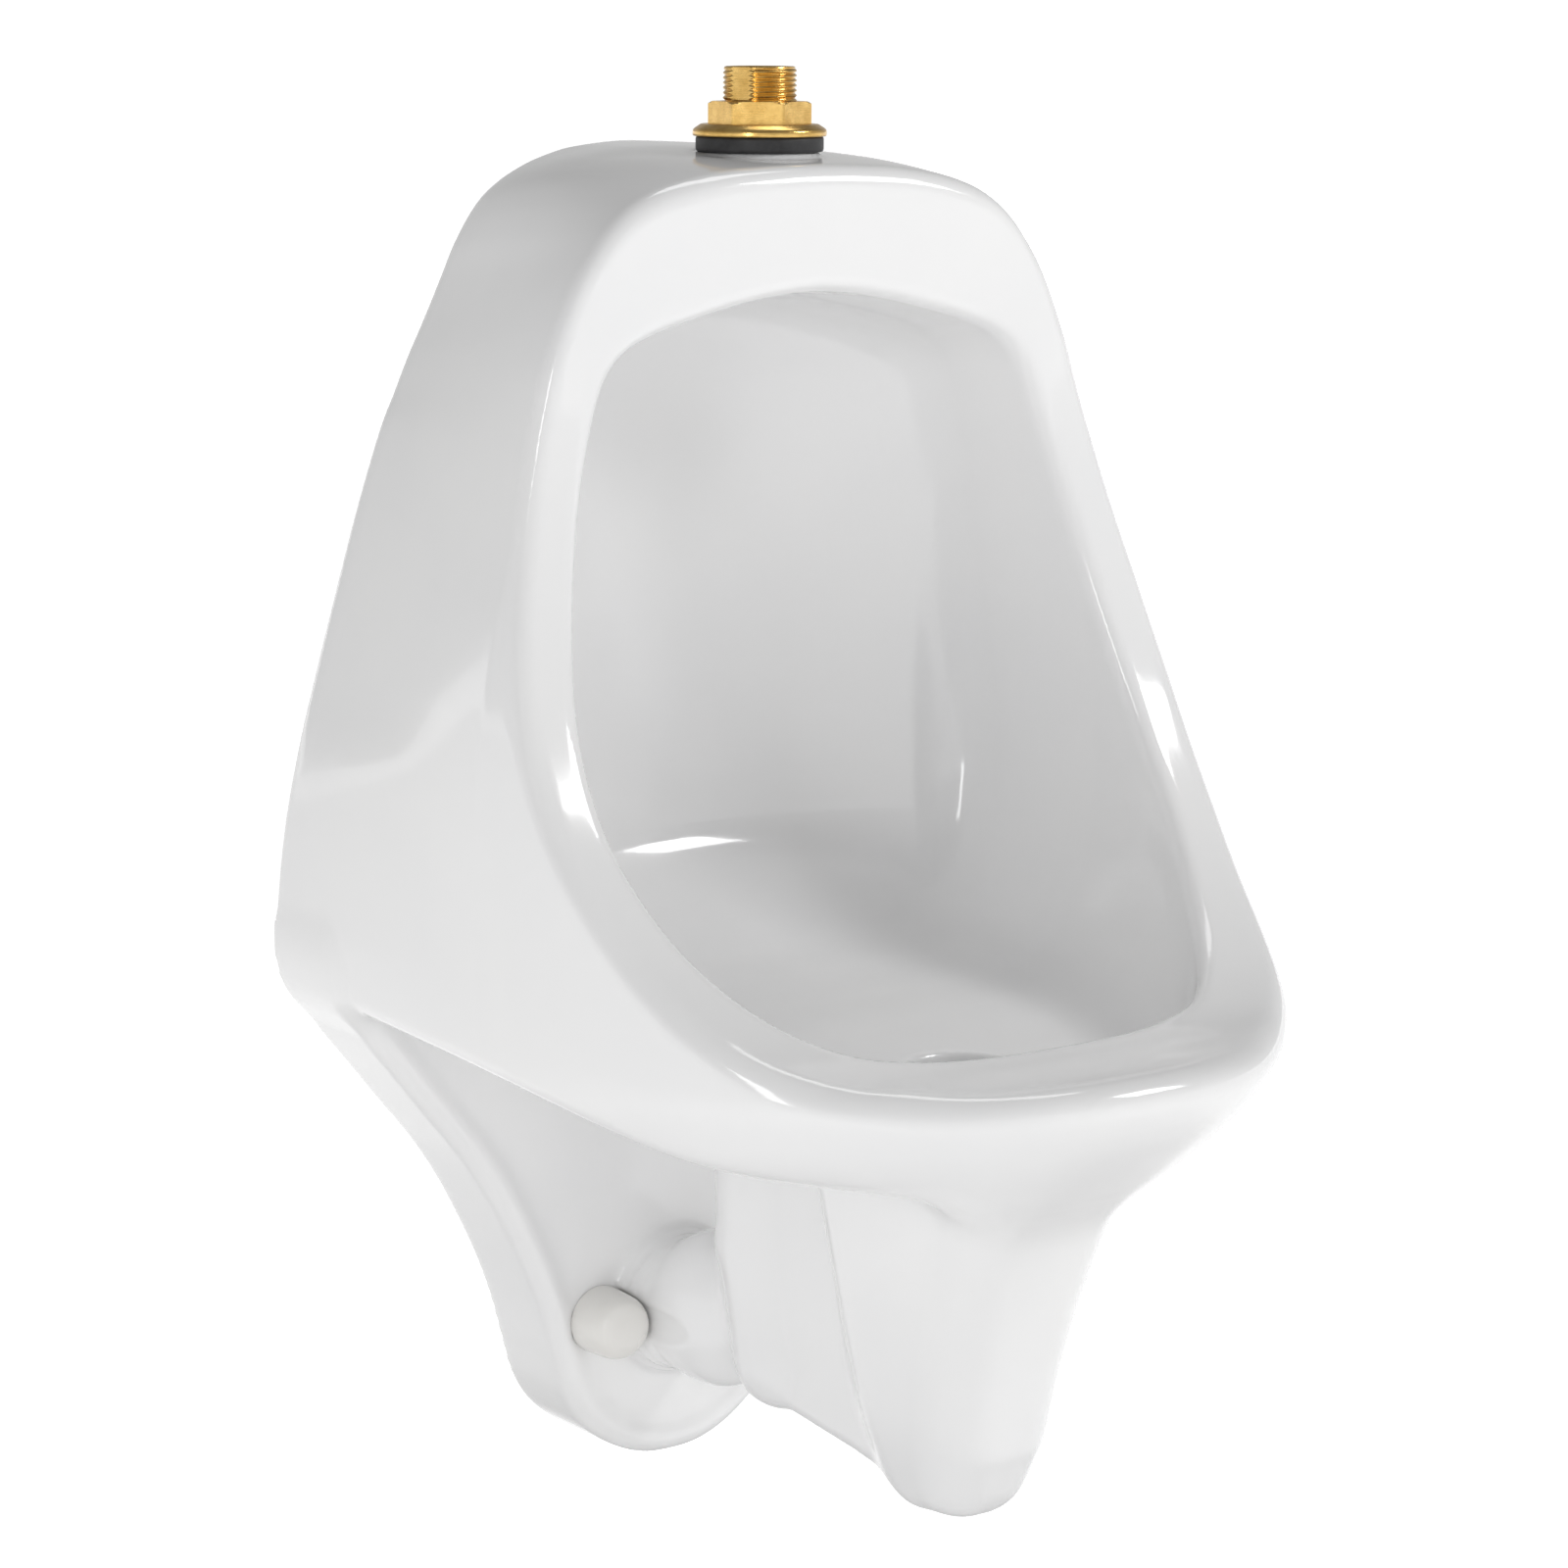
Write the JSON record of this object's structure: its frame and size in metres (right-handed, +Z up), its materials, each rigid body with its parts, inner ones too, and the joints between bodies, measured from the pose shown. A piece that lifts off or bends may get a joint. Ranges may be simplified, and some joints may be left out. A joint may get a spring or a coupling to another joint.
{
  "type": "wall hung urinal",
  "caption": "Wall hung glazed china urinal with a deep open bowl, projecting lip, exposed trap, threaded brass top inlet spud, back outlet with flange and capped outlet bolts.",
  "frame": {"origin": "centre of the waste outlet on the finished wall plane", "axes": "+Z up, +Y into the wall, -Y out towards the user, X across, X = 0 is the symmetry plane of the bowl"},
  "size_m": [0.3799, 0.4006, 0.668],
  "materials": {
    "china": "glazed, gloss white",
    "spud_brass": "machined brass",
    "bolt_brass": "plain brass",
    "black_rubber": "matte",
    "steel": "brushed",
    "cast_iron": "cast, black",
    "cap_plastic": "gloss off-white",
    "hanger_steel": "zinc plated"
  },
  "bodies": {
    "fixture": {"china_body": "china", "spud_tube": "spud_brass", "spud_locknut": "spud_brass", "spud_collar": "spud_brass", "spud_gasket": "black_rubber", "spud_inner_gasket": "black_rubber", "strainer_gasket": "black_rubber", "outlet_flange": "cast_iron", "outlet_gasket": "black_rubber", "outlet_bolts": "bolt_brass", "outlet_bolt_washers": "bolt_brass", "outlet_bolt_nuts": "bolt_brass", "cap_base_left": "cap_plastic", "cap_base_right": "cap_plastic", "wall_hanger_left": "hanger_steel", "wall_hanger_right": "hanger_steel", "hanger_screws": "hanger_steel"},
    "cap_left": {"bolt_cap_left": "cap_plastic"},
    "cap_right": {"bolt_cap_right": "cap_plastic"},
    "strainer": {"drain_strainer": "steel"}
  },
  "joints": [
    {"name": "cap_left_pull", "type": "slide", "parent": "fixture", "child": "cap_left", "axis": [0, -1, 0], "range_m": [0, 0.03]},
    {"name": "cap_right_pull", "type": "slide", "parent": "fixture", "child": "cap_right", "axis": [0, -1, 0], "range_m": [0, 0.03]},
    {"name": "strainer_lift", "type": "slide", "parent": "fixture", "child": "strainer", "axis": [0, 0, 1], "range_m": [0, 0.12]}
  ]
}
